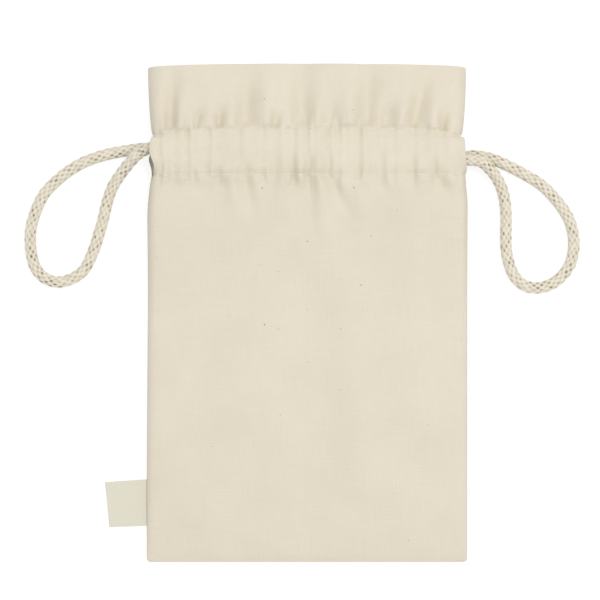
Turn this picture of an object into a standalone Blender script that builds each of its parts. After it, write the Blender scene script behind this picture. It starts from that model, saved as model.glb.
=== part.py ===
"""Cotton drawstring gift sack, lying flat on its back with the mouth towards +Y.

Two sewn panels make the body, a cord channel and a loose double header. Two closed cord rings run
through the channels, each pulled out as a loop at one side, and a woven label is caught in the left seam.
Lengths are in metres. The origin is on the floor, under the middle of the back panel.
"""

import math

import bmesh
import bpy
import numpy as np
from mathutils import Vector

# Driving dimensions of the cloth
BAG_WIDTH = 0.1604
BAG_LENGTH = 0.248
HEADER_LENGTH = 0.033
CLOTH = 0.0005
CORNER_RADIUS = 0.002
HEM = 0.003
SLIT_SETBACK = 0.016
TOP_DRAW_IN = 0.0007
UPPER_DRAW_IN = 0.0028
LOWER_DRAW_IN = 0.0022
NECK_LENGTH = 0.016
TOP_ARCH = 0.0012
CHANNEL_RISE = 0.0019
BODY_RISE = 0.0075
SHOULDER = 0.070
MOUTH_RISE = 0.0128
MOUTH_GAP = 0.0052

# Driving dimensions of the cords, the thread and the label
CORD_DIAMETER = 0.006
CHANNEL_EASE = 0.0048
CORD_SHIFT = -0.0004
THREAD_DIAMETER = 0.0005
SEAM_WIDTH = 0.006
SEAM_THICKNESS = 0.001
SEAM_INSET = 0.003
LABEL_HEIGHT = 0.0232
LABEL_THICKNESS = 0.0008
LABEL_FROM_BOTTOM = 0.0181
LABEL_TOP_EDGE = (0.0206, 0.0014)
LABEL_BOTTOM_EDGE = (0.0184, 0.0007)
CLEAR = 0.0003

# Places that follow from them
HALF = BAG_WIDTH / 2
CORD_RADIUS = CORD_DIAMETER / 2
CORD_PITCH = CORD_DIAMETER + CLEAR
CHANNEL_WIDTH = CORD_PITCH + CORD_DIAMETER + 2 * CHANNEL_EASE
Y_BOTTOM = -BAG_LENGTH / 2
Y_TOP = BAG_LENGTH / 2
Y_HIGH = Y_TOP - HEADER_LENGTH
Y_LOW = Y_HIGH - CHANNEL_WIDTH
Y_CHANNEL = (Y_LOW + Y_HIGH) / 2
Y_LEFT_RING = Y_CHANNEL + CORD_SHIFT + CORD_PITCH / 2
Y_RIGHT_RING = Y_CHANNEL + CORD_SHIFT - CORD_PITCH / 2
Y_HEM_FOOT = Y_LOW - 2 * HEM
X_FACING = HALF - SLIT_SETBACK

# Heights of the layers in the channel, from the floor up
Z_BACK_CORD = CLOTH + CLEAR + CORD_RADIUS
Z_BACK_FACING = Z_BACK_CORD + CORD_RADIUS + CLEAR
Z_FRONT_FACING = Z_BACK_FACING + CLOTH + MOUTH_GAP
Z_FRONT_CORD = Z_FRONT_FACING + CLOTH + CLEAR + CORD_RADIUS
Z_CHANNEL_TOP = Z_FRONT_CORD + CORD_RADIUS + 2 * CLEAR + CLOTH
Z_STITCH_TOP = Z_CHANNEL_TOP - CHANNEL_RISE
Z_MOUTH_TOP = MOUTH_RISE + 2 * CLOTH
Z_BODY_EDGE = CLOTH + CLEAR
BACK_ROW_LIFT = THREAD_DIAMETER + 2 * CLEAR
BACK_ROW_REACH = 0.004

# How sharply the front panel rolls down at its sides, and its slits at their ends: a higher power is
# flatter and then steeper
BODY_POWER = 14
CHANNEL_POWER = 20
SLIT_POWER = 6

# Counts of mesh cells
FACING_CELLS = 10
SIDE_CELLS = 7
CHANNEL_CELLS = 10

# A loop leaves its slit with the back strand, goes round on the floor and comes back as the front strand.
# Each point is (distance out from the bag's side, distance along Y from the channel's middle, lift), in millimetres,
# where a lift of 0 lies on the floor and 1 is the height of that strand in its channel.
MM = 0.001
LEFT_LOOP_OUT = [
    (2, 2.6, 0.7), (9.5, 1.7, 0), (19.5, -0.2, 0), (29.5, -3.4, 0), (37.5, -7.7, 0), (44, -12.7, 0),
    (50.2, -18.9, 0), (53.7, -24.9, 0), (56, -30.9, 0), (57.6, -36.9, 0), (58, -43, 0), (57.4, -50, 0),
    (55.5, -56.6, 0), (51.2, -61.7, 0), (44.5, -64, 0),
]
LEFT_LOOP_BACK = [
    (37.5, -62.4, 0), (31.5, -58.3, 0), (27.9, -51.9, 0), (25.5, -45.9, 0), (23.7, -39.9, 0),
    (21.9, -33.9, 0), (20.5, -27.9, 0), (18.9, -21.9, 0.02), (16.3, -15.7, 0.08), (12.1, -9.6, 0.2),
    (7, -3.6, 0.38), (2.5, 0.3, 0.5),
]
RIGHT_LOOP_OUT = [
    (1.5, -2.6, 0.7), (9.5, -0.9, 0), (18, -3.7, 0), (27.5, -9, 0), (36.8, -15.2, 0), (43.3, -21.4, 0),
    (48.2, -27.6, 0), (51.7, -34.3, 0), (53.6, -42.3, 0), (53.5, -49, 0), (51.9, -55.4, 0), (48.3, -61.2, 0),
    (42.8, -65.6, 0), (35.7, -67.4, 0),
]
RIGHT_LOOP_BACK = [
    (28.6, -65.8, 0), (23.6, -61.4, 0), (20.9, -55.4, 0), (19.4, -48.5, 0), (19.1, -40.5, 0),
    (19.3, -32.4, 0), (18.8, -24.9, 0), (17.4, -18.4, 0.03), (14.5, -12.3, 0.13), (9.9, -7, 0.33),
    (5, -3.9, 0.47),
]


def clear_scene():
    for old in list(bpy.data.objects):
        bpy.data.objects.remove(old, do_unlink=True)


def cloth_material(name, colour, roughness):
    material = bpy.data.materials.new(name)
    material.use_nodes = True
    shader = material.node_tree.nodes["Principled BSDF"]
    shader.inputs["Base Color"].default_value = (*colour, 1.0)
    shader.inputs["Roughness"].default_value = roughness
    shader.inputs["Metallic"].default_value = 0.0
    return material


def add_object(name, data, material, parent):
    """Puts a mesh or curve, written in the bag's own frame, under a parent empty without moving it."""
    data.materials.append(material)
    piece = bpy.data.objects.new(name, data)
    bpy.context.scene.collection.objects.link(piece)
    piece.parent = parent
    piece.location = -parent.location
    return piece


def add_empty(name, place):
    empty = bpy.data.objects.new(name, None)
    bpy.context.scene.collection.objects.link(empty)
    empty.location = place
    return empty


def add_bmesh(name, bm, material, parent):
    bmesh.ops.recalc_face_normals(bm, faces=bm.faces)
    mesh = bpy.data.meshes.new(name)
    bm.to_mesh(mesh)
    bm.free()
    mesh.shade_smooth()
    mesh.set_sharp_from_angle(angle=math.radians(40))
    return add_object(name, mesh, material, parent)


def smooth_step(t):
    t = np.clip(t, 0, 1)
    return t * t * (3 - 2 * t)


def channel_share(y):
    """0 at the lower stitch row, 1 at the upper one."""
    return np.clip((y - Y_LOW) / CHANNEL_WIDTH, 0, 1)


def bulge(y, power=4):
    """1 over most of the channel and 0 at its stitch rows and outside it."""
    return 1 - np.abs(2 * channel_share(y) - 1) ** power


def half_width(y):
    """Half the bag's width: drawn in at the stitch rows, and round at the bottom corners."""
    share = channel_share(y)
    body = LOWER_DRAW_IN * np.clip(1 - (Y_LOW - y) / NECK_LENGTH, 0, 1) ** 2
    channel = LOWER_DRAW_IN + (UPPER_DRAW_IN - LOWER_DRAW_IN) * share
    header = TOP_DRAW_IN + (UPPER_DRAW_IN - TOP_DRAW_IN) * np.clip((Y_TOP - y) / HEADER_LENGTH, 0, 1) ** 2
    draw_in = np.where(share <= 0, body, np.where(share < 1, channel, header))
    above = np.clip(y - Y_BOTTOM, 0, CORNER_RADIUS)
    corner = CORNER_RADIUS - np.sqrt(CORNER_RADIUS**2 - (CORNER_RADIUS - above) ** 2)
    return HALF - draw_in - corner


def top_drop(x, y):
    """How far the header's rows sink towards the sides, which makes the top edge a shallow arch."""
    return TOP_ARCH * smooth_step((y - Y_HIGH) / HEADER_LENGTH) * (x / HALF) ** 2


def cloth_layers(y):
    """One layer of cloth in the body, and two from the hem of the facing upwards."""
    return np.where(y > Y_LOW - HEM - CLEAR, 2, 1)


def back_height(y):
    """Height of the back panel's outer face: flat on the floor, lifted a little along the stitch rows."""
    rows = sum(np.clip(1 - ((y - row) / BACK_ROW_REACH) ** 2, 0, 1) ** 2 for row in (Y_LOW, Y_HIGH))
    return BACK_ROW_LIFT * rows


def front_height(x, y):
    """Height of the front panel's outer face."""
    fall = np.clip(-y / -Y_BOTTOM, 0, 1)
    body = Z_BODY_EDGE + (BODY_RISE + CLOTH - CLEAR) * np.sqrt(1 - fall**2)
    shoulder = smooth_step((y - Y_LOW + SHOULDER) / SHOULDER)
    header = smooth_step((y - Y_HIGH) / HEADER_LENGTH)
    crown = body + (Z_STITCH_TOP - body) * shoulder
    crown = crown + CHANNEL_RISE * bulge(y, 2) + (Z_MOUTH_TOP - Z_STITCH_TOP) * header
    seam = back_height(y) + cloth_layers(y) * CLOTH + CLEAR
    slit = Z_CHANNEL_TOP - CLEAR
    edge = seam + (slit - seam) * bulge(y, SLIT_POWER)
    power = BODY_POWER + (CHANNEL_POWER - BODY_POWER) * bulge(y)
    across = np.clip(np.abs(x) / half_width(y), 0, 1)
    return edge + (crown - edge) * np.sqrt(1 - across**power)


def panel_grid(height, body_cells):
    """Points of a panel's outer face, as an array of columns across and rows up."""
    inner = np.linspace(-X_FACING, X_FACING, FACING_CELLS + 1)
    side = np.sin(np.linspace(0, np.pi / 2, SIDE_CELLS + 1)[1:])
    corner = CORNER_RADIUS * np.array([0, 0.12, 0.4, 1, 2.2, 4.5])
    rows = np.concatenate([
        Y_BOTTOM + corner,
        np.linspace(Y_BOTTOM + corner[-1], Y_LOW - SHOULDER, body_cells + 1)[1:],
        np.linspace(Y_LOW - SHOULDER, Y_HEM_FOOT, 5)[1:],
        [Y_LOW - HEM],
        Y_LOW + CHANNEL_WIDTH * (1 - np.cos(np.linspace(0, np.pi, CHANNEL_CELLS + 1))) / 2,
        np.linspace(Y_HIGH, Y_TOP, 6)[1:],
    ])
    reach = (half_width(rows) - X_FACING)[None, :]
    x = np.concatenate([
        -X_FACING - side[::-1, None] * reach,
        np.repeat(inner[:, None], len(rows), axis=1),
        X_FACING + side[:, None] * reach,
    ])
    y = np.repeat(rows[None, :], len(x), axis=0)
    return np.stack([x, y - top_drop(x, y), height(x, y)], axis=2)


def outward_normals(outer, up):
    """Normals of a grid of points, turned to face up or down, and level where the cloth ends at a seam."""
    normal = np.cross(np.gradient(outer, axis=0), np.gradient(outer, axis=1))
    normal *= up / np.linalg.norm(normal, axis=2, keepdims=True)
    if up > 0:
        sewn = bulge(outer[0, :, 1]) == 0
        normal[0, sewn] = (-1, 0, 0)
        normal[-1, sewn] = (1, 0, 0)
        normal[1:-1, 0] = (0, -1, 0)
    return normal


def panel(name, outer, up, facing_near, facing_far, material, parent):
    """One cut of cloth: an outer wall, a double header, and a facing that closes the cord channel.

    outer is the grid of the outer face. facing_near and facing_far are the heights of the facing's two
    faces in the middle of the channel, the one beside the cords first.
    """
    normal = outward_normals(outer, up)
    columns, rows = outer.shape[:2]
    y = outer[0, :, 1]
    low = int(np.argmin(np.abs(y - Y_LOW)))
    high = int(np.argmin(np.abs(y - Y_HIGH)))
    first = SIDE_CELLS
    last = SIDE_CELLS + FACING_CELLS
    layers = cloth_layers(y)
    share = bulge(y)[None, :]
    points = {
        "outer": outer,
        "wall": outer - CLOTH * normal,
        "inner": outer - CLOTH * layers[None, :, None] * normal,
    }
    for layer, start, middle in (("near", "wall", facing_near), ("far", "inner", facing_far)):
        line = points[start].copy()
        slope = channel_share(y)[None, :]
        joined = line[:, low, 2, None] * (1 - slope) + line[:, high, 2, None] * slope
        line[:, :, 2] = joined + (middle - joined) * share
        line[:, :, :2] = outer[:, :, :2]
        points[layer] = line

    bm = bmesh.new()
    made = {}

    def corner(layer, i, j):
        if j in (low, high):
            layer = {"near": "wall", "far": "inner"}.get(layer, layer)
            if layer == "wall" and not first <= i <= last:
                layer = "inner"
        if (layer, i, j) not in made:
            made[layer, i, j] = bm.verts.new(points[layer][i, j])
        return made[layer, i, j]

    def cell(layer, i, j):
        bm.faces.new([corner(layer, a, b) for a, b in ((i, j), (i + 1, j), (i + 1, j + 1), (i, j + 1))])

    def rim(layer, other, start, end):
        bm.faces.new([corner(layer, *start), corner(layer, *end), corner(other, *end), corner(other, *start)])

    for j in range(rows - 1):
        in_channel = low <= j < high
        under = "wall" if in_channel else "inner"
        for i in range(columns - 1):
            cell("outer", i, j)
            cell(under, i, j)
            if in_channel and first <= i < last:
                cell("near", i, j)
                cell("far", i, j)
        for i in (0, columns - 1):
            rim("outer", under, (i, j), (i, j + 1))
        if in_channel:
            for i in (first, last):
                rim("near", "far", (i, j), (i, j + 1))
    for i in range(columns - 1):
        for j in (0, rows - 1):
            rim("outer", "inner", (i, j), (i + 1, j))
    for j in (low, high):
        for inside, beside in ((first, first - 1), (last, last + 1)):
            bm.faces.new([corner("inner", beside, j), corner("inner", inside, j), corner("wall", inside, j)])
    return add_bmesh(name, bm, material, parent)


def strip(name, low_corner, high_corner, material, parent):
    """A flat band with softened edges, between two corners of a box."""
    low_corner, high_corner = Vector(low_corner), Vector(high_corner)
    bm = bmesh.new()
    bmesh.ops.create_cube(bm, size=1)
    for vert in bm.verts:
        share = vert.co + Vector((0.5, 0.5, 0.5))
        vert.co = [a + (b - a) * s for a, b, s in zip(low_corner, high_corner, share)]
    soft = 0.3 * min(high_corner - low_corner)
    bmesh.ops.bevel(bm, geom=bm.edges[:], offset=soft, segments=1, affect="EDGES")
    return add_bmesh(name, bm, material, parent)


def smooth_route(route, spacing):
    """Points at even spacing along a smooth curve through the route's own points."""
    route = np.array(route, float)
    padded = np.vstack([2 * route[0] - route[1], route, 2 * route[-1] - route[-2]])
    fine = []
    for before, start, end, after in zip(padded, padded[1:], padded[2:], padded[3:]):
        t = np.linspace(0, 1, 24, endpoint=False)[:, None]
        fine.append(
            start
            + 0.5 * t * (end - before)
            + t**2 * (before - 2.5 * start + 2 * end - 0.5 * after)
            + t**3 * (1.5 * start - 1.5 * end + 0.5 * after - 0.5 * before)
        )
    fine = np.vstack([*fine, route[-1:]])
    along = np.concatenate([[0], np.cumsum(np.linalg.norm(np.diff(fine, axis=0), axis=1))])
    places = np.linspace(0, along[-1], max(2, math.ceil(along[-1] / spacing) + 1))
    return np.stack([np.interp(places, along, fine[:, axis]) for axis in range(3)], axis=1)


def tube(name, points, diameter, sides, material, parent):
    """A round cord or thread along a line of points, with flat ends."""
    data = bpy.data.curves.new(name, "CURVE")
    data.dimensions = "3D"
    data.bevel_depth = diameter / 2
    data.bevel_resolution = sides
    data.use_fill_caps = True
    spline = data.splines.new("POLY")
    spline.points.add(len(points) - 1)
    for target, point in zip(spline.points, points):
        target.co = (*point, 1.0)
    return add_object(name, data, material, parent)


def loop_points(side, y_ring, outward, homeward):
    """A loop's points: straight out of the back channel, round on the floor and into the front channel."""

    def place(point, height):
        out, along, lift = point
        z = CORD_RADIUS + lift * (height - CORD_RADIUS)
        return (side * (HALF + out * MM), Y_CHANNEL + along * MM, z)

    def inside(share, height):
        return (side * (X_FACING + CLEAR / 2 + share * SLIT_SETBACK), y_ring, height)

    sag = Z_FRONT_CORD - CORD_RADIUS
    route = [
        inside(0.2, Z_BACK_CORD),
        inside(0.6, Z_BACK_CORD),
        *[place(point, Z_BACK_CORD) for point in outward],
        *[place(point, Z_FRONT_CORD) for point in homeward],
        inside(0.72, Z_FRONT_CORD - 0.28 * sag),
        inside(0.45, Z_FRONT_CORD - 0.06 * sag),
        inside(0.2, Z_FRONT_CORD),
    ]
    ends = inside(0, Z_BACK_CORD), inside(0, Z_FRONT_CORD)
    return [ends[0], *smooth_route(route, 2 * CORD_DIAMETER), ends[1]]


def turn_points(side, y_ring):
    """The bend that takes a ring from the front channel to the back one at the far slit."""
    middle = (Z_FRONT_CORD + Z_BACK_CORD) / 2
    radius = (Z_FRONT_CORD - Z_BACK_CORD) / 2
    start = X_FACING + CLEAR / 2
    straight = start + CORD_RADIUS / 2
    bend = [
        (side * (straight + radius * math.sin(angle)), y_ring, middle + radius * math.cos(angle))
        for angle in np.linspace(0, math.pi, 10)
    ]
    return [(side * start, y_ring, Z_FRONT_CORD), *bend, (side * start, y_ring, Z_BACK_CORD)]


def cord_ring(name, side, y_ring, outward, homeward, material, bag):
    """One closed ring of cord: its loop and two runs slide together, and its turn stays at the far slit."""
    pull = add_empty(name + "_pull", (side * HALF, y_ring, Z_BACK_CORD))
    loop = loop_points(side, y_ring, outward, homeward)
    tube(name + "_loop", loop, CORD_DIAMETER, 3, material, pull)
    end = X_FACING - CLEAR / 2
    for place, z in (("front", Z_FRONT_CORD), ("back", Z_BACK_CORD)):
        run = [(-end, y_ring, z), (end, y_ring, z)]
        tube(f"{name}_{place}_run", run, CORD_DIAMETER, 3, material, pull)
    tube(name + "_turn", turn_points(-side, y_ring), CORD_DIAMETER, 3, material, bag)


def stitch_rows(material, bag):
    """Four rows of thread, just outside the channels, on the outer faces of the two panels."""
    radius = THREAD_DIAMETER / 2
    for place, row, step in (("lower", Y_LOW, -1), ("upper", Y_HIGH, 1)):
        y = row + step * (radius + CLEAR)
        reach = float(half_width(row)) - SEAM_INSET
        x = reach * np.sin(np.linspace(-np.pi / 2, np.pi / 2, 25))
        front = front_height(x, y) + CLEAR + radius
        tube(
            f"front_{place}_stitching",
            np.stack([x, np.full_like(x, y), front], axis=1),
            THREAD_DIAMETER, 1, material, bag,
        )
        back = back_height(y) - CLEAR - radius
        tube(f"back_{place}_stitching", [(-reach, y, back), (reach, y, back)], THREAD_DIAMETER, 1, material, bag)


def seams(material, bag):
    """Overlocked seam allowances inside the bag, lying on the back panel."""
    bottom = Y_BOTTOM + SEAM_INSET
    above = bottom + SEAM_WIDTH + CLEAR
    header_foot = Y_HIGH + 2 * HEM
    body_z = CLOTH + CLEAR
    header_z = 2 * CLOTH + CLEAR
    rows = (
        ("side_seam", HALF - SEAM_INSET, above, Y_HEM_FOOT - CLEAR, body_z),
        ("header_seam", float(half_width(header_foot)) - SEAM_INSET, header_foot, Y_TOP - TOP_ARCH - HEM, header_z),
    )
    for name, outer, y_low, y_high, z in rows:
        for side, sign in (("left", -1), ("right", 1)):
            x_low, x_high = sorted((sign * (outer - SEAM_WIDTH), sign * outer))
            strip(f"{side}_{name}", (x_low, y_low, z), (x_high, y_high, z + SEAM_THICKNESS), material, bag)
    reach = HALF - SEAM_INSET - SEAM_WIDTH
    strip("bottom_seam", (-reach, bottom, body_z), (reach, above - CLEAR, body_z + SEAM_THICKNESS), material, bag)


def label(material):
    """A folded woven tape that swings on the line where the left seam holds it."""
    hinge = add_empty("label_hinge", (-HALF - CLEAR, Y_BOTTOM + LABEL_FROM_BOTTOM, CLEAR + LABEL_THICKNESS))
    seam_top = Vector((0, LABEL_HEIGHT, 0))
    outer_top = seam_top - Vector((*LABEL_TOP_EDGE, 0))
    outer_bottom = -Vector((*LABEL_BOTTOM_EDGE, 0))
    bm = bmesh.new()
    corners = [Vector((0, 0, 0)), seam_top, outer_top, outer_bottom]
    face = bm.faces.new([bm.verts.new(hinge.location + corner) for corner in corners])
    thick = bmesh.ops.extrude_face_region(bm, geom=[face])
    moved = [item for item in thick["geom"] if isinstance(item, bmesh.types.BMVert)]
    bmesh.ops.translate(bm, verts=moved, vec=(0, 0, -LABEL_THICKNESS))
    add_bmesh("label_tab", bm, material, hinge)


def build():
    clear_scene()
    cotton = cloth_material("natural_cotton", (0.77, 0.71, 0.58), 0.95)
    cord = cloth_material("cotton_cord", (0.69, 0.63, 0.50), 0.95)
    thread = cloth_material("sewing_thread", (0.78, 0.72, 0.60), 0.80)
    tape = cloth_material("label_tape", (0.76, 0.73, 0.60), 0.85)
    bag = add_empty("gift_sack", (0, 0, 0))
    panel(
        "front_panel", panel_grid(front_height, 11), 1,
        Z_FRONT_FACING + CLOTH, Z_FRONT_FACING, cotton, bag,
    )
    panel(
        "back_panel", panel_grid(lambda x, y: back_height(y), 5), -1,
        Z_BACK_FACING, Z_BACK_FACING + CLOTH, cotton, bag,
    )
    seams(cotton, bag)
    stitch_rows(thread, bag)
    label(tape)
    cord_ring("left_cord", -1, Y_LEFT_RING, LEFT_LOOP_OUT, LEFT_LOOP_BACK, cord, bag)
    cord_ring("right_cord", 1, Y_RIGHT_RING, RIGHT_LOOP_OUT, RIGHT_LOOP_BACK, cord, bag)


build()
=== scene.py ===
"""Looks of the cotton drawstring gift sack: cloth, braided cords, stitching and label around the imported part.

Lengths are in metres, in the part's own frame: the bag lies on its back, +Y points to its mouth and +Z up.
"""

import math

import bmesh
import bpy
import numpy as np
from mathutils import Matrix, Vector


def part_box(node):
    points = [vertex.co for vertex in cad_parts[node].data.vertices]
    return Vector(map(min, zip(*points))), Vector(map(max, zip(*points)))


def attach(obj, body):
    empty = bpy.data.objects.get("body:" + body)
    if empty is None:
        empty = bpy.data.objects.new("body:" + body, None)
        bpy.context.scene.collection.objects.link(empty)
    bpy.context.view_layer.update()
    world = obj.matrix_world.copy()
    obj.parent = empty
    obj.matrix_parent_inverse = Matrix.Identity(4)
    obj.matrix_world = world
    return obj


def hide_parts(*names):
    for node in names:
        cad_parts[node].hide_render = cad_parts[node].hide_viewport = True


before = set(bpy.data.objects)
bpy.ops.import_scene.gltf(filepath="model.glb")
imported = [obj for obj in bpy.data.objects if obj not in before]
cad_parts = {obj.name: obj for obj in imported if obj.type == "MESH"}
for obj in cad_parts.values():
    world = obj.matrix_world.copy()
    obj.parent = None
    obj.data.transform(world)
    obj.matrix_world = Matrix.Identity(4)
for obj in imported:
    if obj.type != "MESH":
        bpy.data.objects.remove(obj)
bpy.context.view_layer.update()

MM = 0.001

# Sizes of the part, as its source gives them
CLOTH = 0.0005
CLEAR = 0.0003
HEM = 0.003
CORNER_RADIUS = 0.002
SHOULDER = 0.070
SLIT_SETBACK = 0.016
TOP_DRAW_IN = 0.0007
UPPER_DRAW_IN = 0.0028
LOWER_DRAW_IN = 0.0022
NECK_LENGTH = 0.016
TOP_ARCH = 0.0012
CHANNEL_RISE = 0.0019
HEADER_LENGTH = 0.033
MOUTH_RISE = 0.0128
BODY_RISE = 0.0075
CORD_DIAMETER = 0.006
CORD_RADIUS = CORD_DIAMETER / 2
CHANNEL_EASE = 0.0048
THREAD_DIAMETER = 0.0005
THREAD_RADIUS = THREAD_DIAMETER / 2
BACK_ROW_REACH = 0.004
CHANNEL_POWER = 20
SLIT_POWER = 6

# How square the cloth's sections are, where a higher power is squarer: across the body, which is squarer here than
# in the part, and across the mouth, which is rounder; then up the channel, at its sides and at its crown
BODY_POWER = 45
MOUTH_POWER = 12
BULGE_POWER = 4
CROWN_POWER = 2

# Places read from the frame
FRONT_LOW, FRONT_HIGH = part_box("front_panel")
BACK_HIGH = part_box("back_panel")[1]
LABEL_LOW, LABEL_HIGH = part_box("label_tab")
HALF = FRONT_HIGH.x
Y_BOTTOM, Y_TOP = FRONT_LOW.y, FRONT_HIGH.y
Y_HIGH = Y_TOP - HEADER_LENGTH
CORD_PITCH = CORD_DIAMETER + CLEAR
CHANNEL_WIDTH = CORD_PITCH + CORD_DIAMETER + 2 * CHANNEL_EASE
Y_LOW = Y_HIGH - CHANNEL_WIDTH
Y_CHANNEL = (Y_LOW + Y_HIGH) / 2
Y_HEM_FOOT = Y_LOW - 2 * HEM
X_FACING = HALF - SLIT_SETBACK
Z_BACK_FACING = BACK_HIGH.z - CLOTH
Z_BACK_CORD = CLOTH + CLEAR + CORD_RADIUS
Z_CHANNEL_TOP = FRONT_HIGH.z
Z_FRONT_CORD = Z_CHANNEL_TOP - CLOTH - 2 * CLEAR - CORD_RADIUS
Z_FRONT_FACING = Z_FRONT_CORD - CORD_RADIUS - CLEAR - CLOTH
Z_STITCH_TOP = Z_CHANNEL_TOP - CHANNEL_RISE
Z_MOUTH_TOP = MOUTH_RISE + 2 * CLOTH
Z_BODY_EDGE = CLOTH + CLEAR
BACK_ROW_LIFT = THREAD_DIAMETER + 2 * CLEAR
Y_LEFT_RING, Y_RIGHT_RING = (
    (low.y + high.y) / 2 for low, high in map(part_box, ("left_cord_turn", "right_cord_turn"))
)

# The loops' routes: (distance out from the bag's side, distance along Y from the channel's middle, lift), in
# millimetres, where a lift of 0 lies on the floor and 1 is the height of that strand in its channel. The right
# loop's way out lies a little closer to the photographed one than the part's does.
LEFT_LOOP_OUT = [
    (2, 2.6, 0.7), (9.5, 1.7, 0), (19.5, -0.2, 0), (29.5, -3.4, 0), (37.5, -7.7, 0), (44, -12.7, 0),
    (50.2, -18.9, 0), (53.7, -24.9, 0), (56, -30.9, 0), (57.6, -36.9, 0), (58, -43, 0), (57.4, -50, 0),
    (55.5, -56.6, 0), (51.2, -61.7, 0), (44.5, -64, 0),
]
LEFT_LOOP_BACK = [
    (37.5, -62.4, 0), (31.5, -58.3, 0), (27.9, -51.9, 0), (25.5, -45.9, 0), (23.7, -39.9, 0),
    (21.9, -33.9, 0), (20.5, -27.9, 0), (18.9, -21.9, 0.02), (16.3, -15.7, 0.08), (12.1, -9.6, 0.2),
    (7, -3.6, 0.38), (2.5, 0.3, 0.5),
]
RIGHT_LOOP_OUT = [
    (0.5, -1.2, 0.75), (9.5, -1.8, 0), (18, -4.9, 0), (27.5, -9.7, 0), (36.8, -15.5, 0), (43.2, -21.8, 0),
    (47.9, -27.9, 0), (51.3, -34.4, 0), (53, -42.3, 0), (52.8, -49, 0), (51.1, -55.3, 0), (47.2, -60.9, 0),
    (41.8, -65, 0), (35.3, -66.9, 0),
]
RIGHT_LOOP_BACK = [
    (28.6, -65.8, 0), (23.6, -61.4, 0), (20.9, -55.4, 0), (19.4, -48.5, 0), (19.1, -40.5, 0),
    (19.3, -32.4, 0), (18.8, -24.9, 0), (17.4, -18.4, 0.03), (14.5, -12.3, 0.13), (9.9, -7, 0.33),
    (5, -3.9, 0.47),
]

# A loop's ends inside its slit: shares of the slit's depth on the back strand, and on the front strand the same
# with the share of its height that it has already dropped
BACK_END = (0.2, 0.6)
FRONT_END = ((0.72, 0.28), (0.45, 0.06), (0.2, 0))

# Folds that fan out from a stitch row, in millimetres: (x at the row, x at the tip, y of the tip, width, height).
# A negative height is a valley.
HEADER_FOLDS = [
    (-67.5, -66, 130, 3, -1.4), (-62.5, -62, 116, 3.2, 0.8), (-54.5, -53.5, 104, 1.8, -1.0),
    (-48.5, -48.5, 106, 2.2, 0.5), (-43.5, -42.5, 106, 2.2, -1.0), (-37, -37, 112, 3, 0.5),
    (-30.5, -29, 134, 4.6, -1.3), (-20, -19, 124, 4.5, 1.0), (-16.2, -15, 103, 2.2, -0.9),
    (-9, -9, 110, 2.5, 0.5), (-2.5, -2, 140, 5.4, -1.5), (4.5, 5, 112, 3, 0.5), (11.5, 12, 109, 2.6, -0.8),
    (20.5, 21, 124, 5, 1.1), (29.5, 30, 140, 5, -1.4), (38.5, 41, 111, 3.2, -1.1), (46, 48, 114, 3, 0.6),
    (52.5, 60.5, 131, 3.8, -1.5), (61.5, 63.5, 112, 2.6, 0.9), (66.8, 68, 106, 2, -1.0),
    (73, 73.5, 104, 2, 0.4),
]
BODY_FOLDS = [
    (-37, -36.5, 48, 3, 0.5), (-13, -13, 46, 3.5, 0.5), (6, 8, 28, 3.2, 0.8), (25.5, 27.5, 36, 4, 0.7),
    (46, 47, 52, 4, 0.4), (56, 56, 54, 3, 0.5), (72, 73, 54, 2.5, 0.4),
]

# Their widths at the row and the gain towards the tip, as shares of the given width, and the shares of their
# lengths over which they rise and from which they fade
FOLD_WIDTH = 0.8
FOLD_GAIN = 0.6
FOLD_RISE = 0.10
FOLD_FADE = 0.30

# Folds that cross the lower stitch row, in millimetres: (x and y of the upper end, x at the row, x and y of the
# lower end, width, depth of the valley between its two ridges)
ROW_FOLDS = [
    (-72, 74, -71.5, -71, 64, 2.2, 0.5), (-57, 73, -56, -56, 62, 1.8, 0.7), (-51, 83, -50.5, -50, 66, 2, 0.4),
    (-44.5, 75, -44, -44, 61, 1.8, 0.7), (-31, 79, -30.5, -27, 42, 2.4, 1), (-23, 76, -22.5, -22, 62, 1.6, 0.6),
    (-9, 84, -6.5, -6, 60, 1.6, 0.9), (1.5, 84, 1.2, 1.2, 58, 1.6, 1), (11, 84, 11, 19, 48, 2.2, 1.2),
    (36, 84, 36, 36.5, 58, 2.2, 0.9), (51, 81, 52, 53, 64, 1.8, 0.6), (60, 82, 62.5, 68.5, 58, 2.4, 1.1),
]

# Their widths at the row and the gain towards the lower end; the height and spread of the ridges and the depth of
# the valley below the row; and how much the row pinches them, over which reach
ROW_FOLD_WIDTH = 1.35
ROW_FOLD_GAIN = 0.55
ROW_RIDGE = 1.3
ROW_RIDGE_SPREAD = 2.4
ROW_SINK = 0.4
ROW_PINCH = 0.35
ROW_PINCH_REACH = 0.0015
ROW_SINK_REACH = 3 * ROW_PINCH_REACH

# Broad slack folds of the body, in millimetres: (x and y at one end, x and y at the other, width, height), and the
# share of their lengths over which each end fades
SLACK_FOLDS = [
    (-3, 58, 18, -122, 9, -0.35), (14, 50, 34, -122, 10, 0.3), (-22, 20, -34, -122, 12, 0.3),
    (58, -60, 62, -115, 7, -0.3),
]
SLACK_FADE = 0.35

# Fine gathers along the stitch rows: wavelengths and heights in millimetres; the swings that make them uneven, as
# (height, length, phase); how far they reach below and above each row; and their strength in the channel
GATHERS = ((3.7, 0.11), (5.3, 0.18), (8.3, 0.26))
GATHER_SEED = 7
GATHER_DRIFT = ((0.6, 9.0, 0), (0.4, 4.7, 1.3))
GATHER_STRENGTH = 0.75
GATHER_SWELL = (0.25, 13.0, 0.7)
GATHER_REACHES = ((Y_LOW, 0.0065, 0.0075), (Y_HIGH, 0.0075, 0.0070))
GATHER_FALL = 0.75
GATHER_IN_CHANNEL = 0.55

# All folds and gathers are this much deeper than the numbers above
FOLD_SCALE = 2.8

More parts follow.
